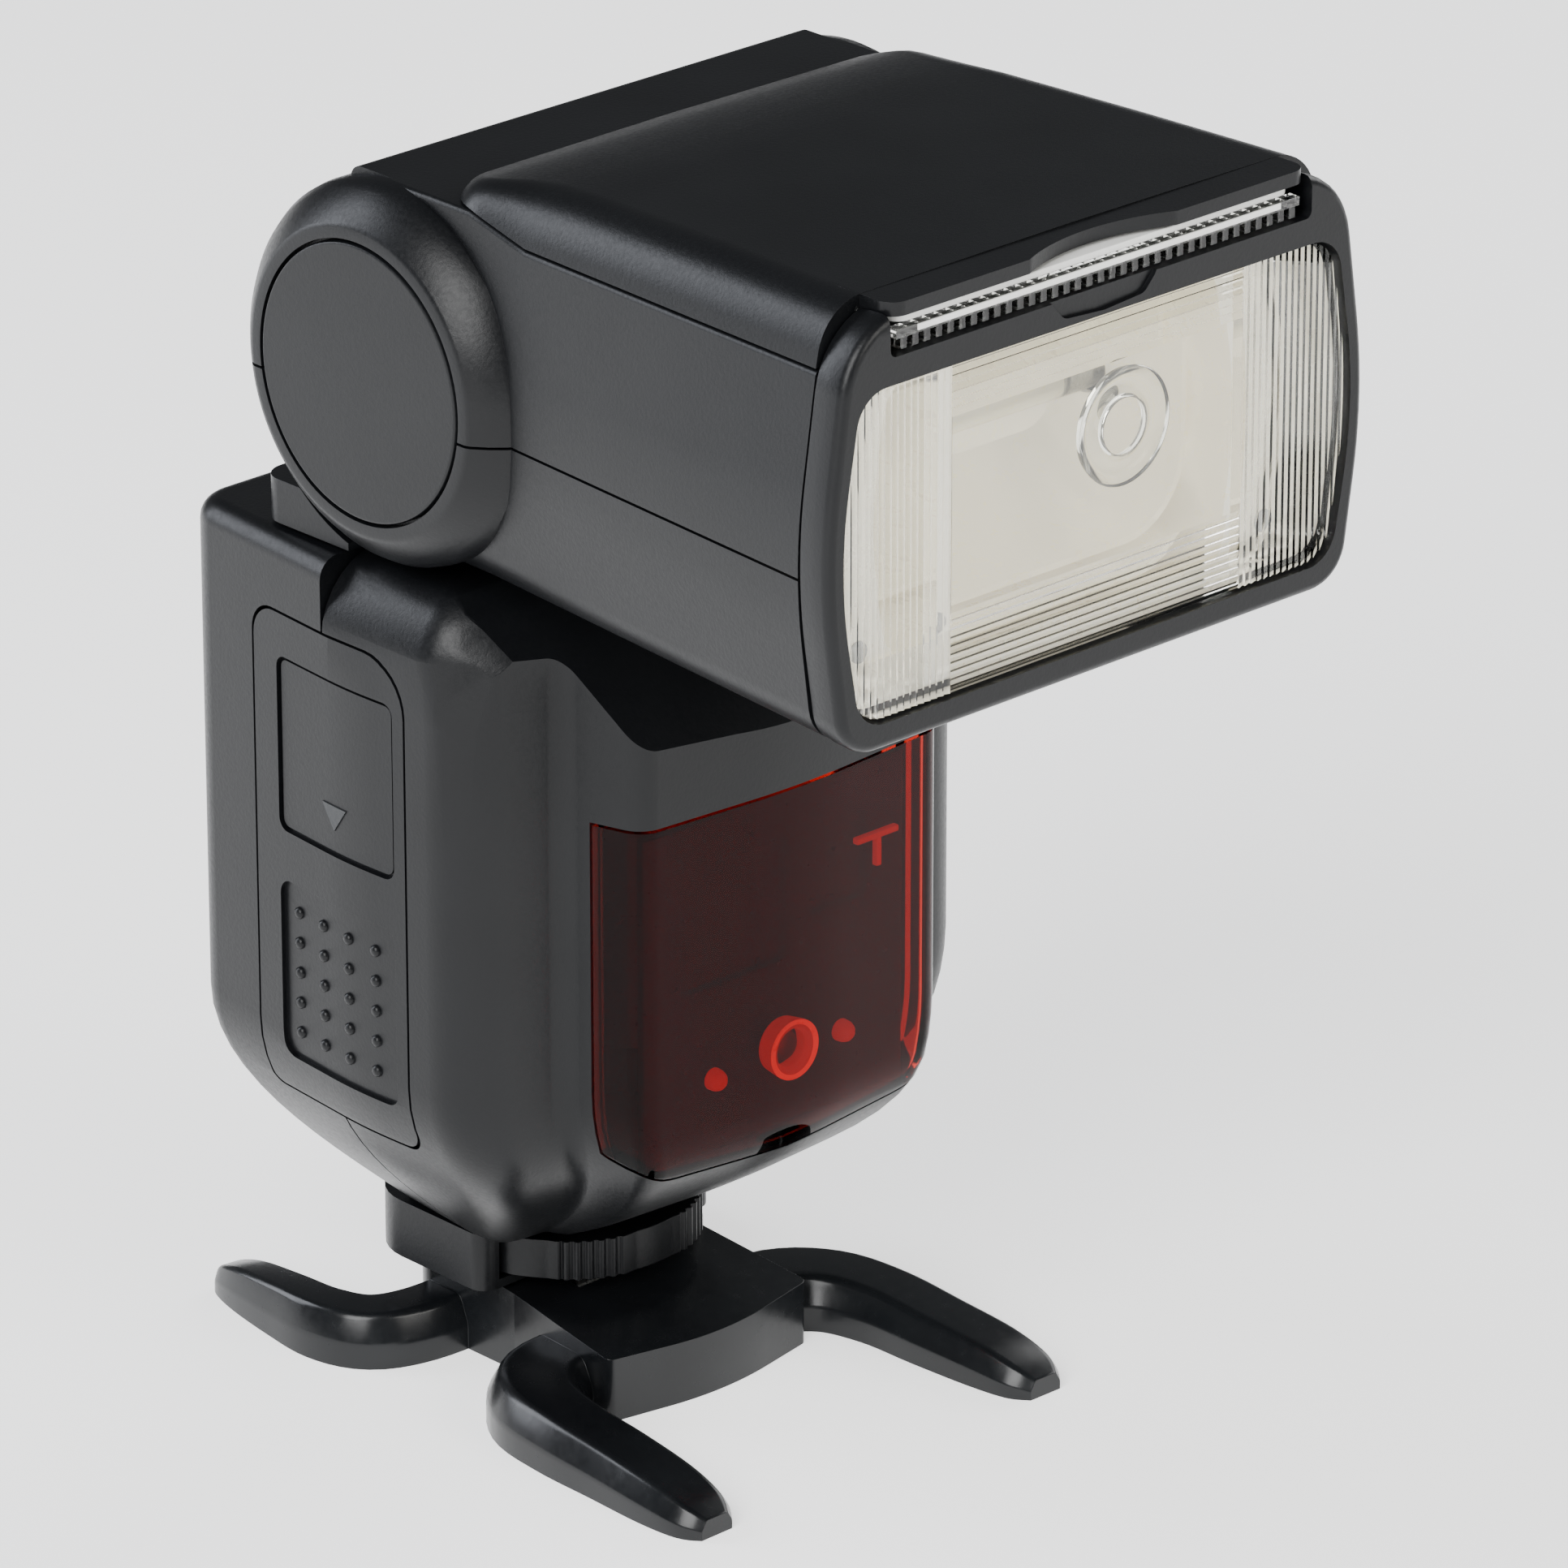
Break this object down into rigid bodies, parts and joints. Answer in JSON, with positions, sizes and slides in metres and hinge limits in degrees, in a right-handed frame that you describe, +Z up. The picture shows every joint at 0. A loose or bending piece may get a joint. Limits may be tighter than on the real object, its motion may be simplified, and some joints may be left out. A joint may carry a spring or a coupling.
{
  "type": "speedlight flash",
  "caption": "Hot-shoe speedlight flash with tilting and swivelling zoom head, battery door and rear controls, standing in a four-legged mini stand.",
  "frame": {"origin": "on the swivel axis, in the plane of the table that the stand rests on", "axes": "+Z up along the swivel axis; -Y is where the flash head faces; +X completes the right-hand frame, away from the battery door"},
  "size_m": [0.0756, 0.1126, 0.147],
  "materials": {
    "satin_black_abs": "satin, fine moulded grain",
    "gloss_black_plastic": "glossy",
    "dark_grey_plastic": "matte",
    "clear_acrylic": "clear, polished",
    "dark_red_acrylic": "clear dark red, polished",
    "reflector_film": "bright",
    "plated_steel": "plated",
    "turned_brass": "turned",
    "white_plastic": "satin",
    "circuit_board": "satin",
    "black_rubber": "matte"
  },
  "bodies": {
    "stand": {"stand_base": "gloss_black_plastic", "stand_insert": "turned_brass"},
    "flash": {"foot_housing": "satin_black_abs", "foot_plate": "plated_steel", "contact_block": "gloss_black_plastic", "foot_screw_left": "plated_steel", "foot_screw_right": "plated_steel", "body_front_shell": "satin_black_abs", "body_rear_shell": "satin_black_abs", "signal_window": "dark_red_acrylic", "sensor_tray": "dark_grey_plastic", "assist_lens": "clear_acrylic", "assist_led_left": "dark_red_acrylic", "assist_led_right": "dark_red_acrylic", "lcd_window": "gloss_black_plastic", "lcd_module": "dark_grey_plastic", "battery_pack": "dark_grey_plastic", "main_board": "circuit_board", "main_capacitor": "gloss_black_plastic", "oscillation_transformer": "dark_grey_plastic", "trigger_coil": "turned_brass"},
    "lock_ring": {"lock_ring": "satin_black_abs"},
    "lock_pin": {"lock_pin": "plated_steel"},
    "battery_door": {"battery_door": "satin_black_abs"},
    "battery_latch": {"battery_latch": "white_plastic"},
    "port_cover": {"port_cover": "black_rubber"},
    "control_dial": {"control_dial": "dark_grey_plastic"},
    "set_button": {"set_button": "dark_grey_plastic"},
    "mode_button": {"mode_button": "dark_grey_plastic"},
    "test_button": {"test_button": "dark_grey_plastic"},
    "power_switch": {"power_switch": "dark_grey_plastic"},
    "neck": {"neck_yoke": "satin_black_abs", "swivel_washer": "plated_steel", "tilt_axle_left": "plated_steel", "tilt_axle_right": "plated_steel"},
    "head": {"head_upper_shell": "satin_black_abs", "head_lower_shell": "satin_black_abs", "head_screw_left": "plated_steel", "head_screw_right": "plated_steel", "hinge_cap_left": "satin_black_abs", "hinge_cap_right": "satin_black_abs", "top_cover": "satin_black_abs", "front_bezel": "satin_black_abs", "fresnel_lens": "clear_acrylic", "guide_rod_left": "plated_steel", "guide_rod_right": "plated_steel", "zoom_motor": "plated_steel"},
    "wide_panel": {"wide_panel": "clear_acrylic"},
    "bounce_card": {"bounce_card": "white_plastic"},
    "zoom_carriage": {"zoom_carriage": "dark_grey_plastic", "reflector": "reflector_film", "flash_tube": "clear_acrylic"},
    "lead_screw": {"lead_screw": "plated_steel"},
    "function_button_1": {"function_button_1": "dark_grey_plastic"},
    "function_button_2": {"function_button_2": "dark_grey_plastic"},
    "function_button_3": {"function_button_3": "dark_grey_plastic"},
    "function_button_4": {"function_button_4": "dark_grey_plastic"}
  },
  "joints": [
    {"name": "shoe_slide", "type": "slide", "parent": "stand", "child": "flash", "axis": [0, 1, 0], "range_m": [0, 0.022]},
    {"name": "lock_ring_turn", "type": "hinge", "parent": "flash", "child": "lock_ring", "pos_m": [0, 0.0105, 0.0136], "axis": [0, 0, 1], "range_deg": [0, 60]},
    {"name": "lock_pin_drop", "type": "slide", "parent": "flash", "child": "lock_pin", "axis": [0, 0, -1], "range_m": [0, 0.00121]},
    {"name": "door_hinge", "type": "hinge", "parent": "flash", "child": "battery_door", "pos_m": [-0.0354, 0.0193, 0.063], "axis": [0, 0, -1], "range_deg": [0, 100]},
    {"name": "latch_push", "type": "slide", "parent": "flash", "child": "battery_latch", "axis": [0, 1, 0], "range_m": [0, 0.0015], "stiffness_N_per_m": 300},
    {"name": "port_cover_hinge", "type": "hinge", "parent": "flash", "child": "port_cover", "pos_m": [0.0369, 0.0045, 0.0665], "axis": [0, 0, 1], "range_deg": [0, 90]},
    {"name": "dial_turn", "type": "hinge", "parent": "flash", "child": "control_dial", "pos_m": [0, 0.0315, 0.0475], "axis": [0, 1, 0], "continuous": true},
    {"name": "set_press", "type": "slide", "parent": "flash", "child": "set_button", "axis": [0, -1, 0], "range_m": [0, 0.0008], "stiffness_N_per_m": 300},
    {"name": "mode_press", "type": "slide", "parent": "flash", "child": "mode_button", "axis": [0, -1, 0], "range_m": [0, 0.0008], "stiffness_N_per_m": 300},
    {"name": "test_press", "type": "slide", "parent": "flash", "child": "test_button", "axis": [0, -1, 0], "range_m": [0, 0.0008], "stiffness_N_per_m": 300},
    {"name": "power_slide", "type": "slide", "parent": "flash", "child": "power_switch", "axis": [1, 0, 0], "range_m": [0, 0.005]},
    {"name": "head_swivel", "type": "hinge", "parent": "flash", "child": "neck", "pos_m": [0, 0, 0.1], "axis": [0, 0, 1], "range_deg": [-180, 180]},
    {"name": "head_tilt", "type": "hinge", "parent": "neck", "child": "head", "pos_m": [0, 0, 0.1214], "axis": [-1, 0, 0], "range_deg": [0, 90]},
    {"name": "panel_slide", "type": "slide", "parent": "head", "child": "wide_panel", "axis": [0, -1, 0], "range_m": [0, 0.038]},
    {"name": "card_slide", "type": "slide", "parent": "head", "child": "bounce_card", "axis": [0, -1, 0], "range_m": [0, 0.038]},
    {"name": "zoom_slide", "type": "slide", "parent": "head", "child": "zoom_carriage", "axis": [0, 1, 0], "range_m": [0, 0.013]},
    {"name": "lead_screw_spin", "type": "hinge", "parent": "head", "child": "lead_screw", "pos_m": [0.0278, -0.036, 0.128], "axis": [0, 1, 0], "range_deg": [0, 392]},
    {"name": "function_press_1", "type": "slide", "parent": "flash", "child": "function_button_1", "axis": [0, -1, 0], "range_m": [0, 0.0008], "stiffness_N_per_m": 300},
    {"name": "function_press_2", "type": "slide", "parent": "flash", "child": "function_button_2", "axis": [0, -1, 0], "range_m": [0, 0.0008], "stiffness_N_per_m": 300},
    {"name": "function_press_3", "type": "slide", "parent": "flash", "child": "function_button_3", "axis": [0, -1, 0], "range_m": [0, 0.0008], "stiffness_N_per_m": 300},
    {"name": "function_press_4", "type": "slide", "parent": "flash", "child": "function_button_4", "axis": [0, -1, 0], "range_m": [0, 0.0008], "stiffness_N_per_m": 300}
  ],
  "couplings": [
    {"joint": "lock_pin_drop", "follows": "lock_ring_turn", "m_per_rad": 0.0011459},
    {"joint": "lead_screw_spin", "follows": "zoom_slide", "rad_per_m": 523.6}
  ]
}
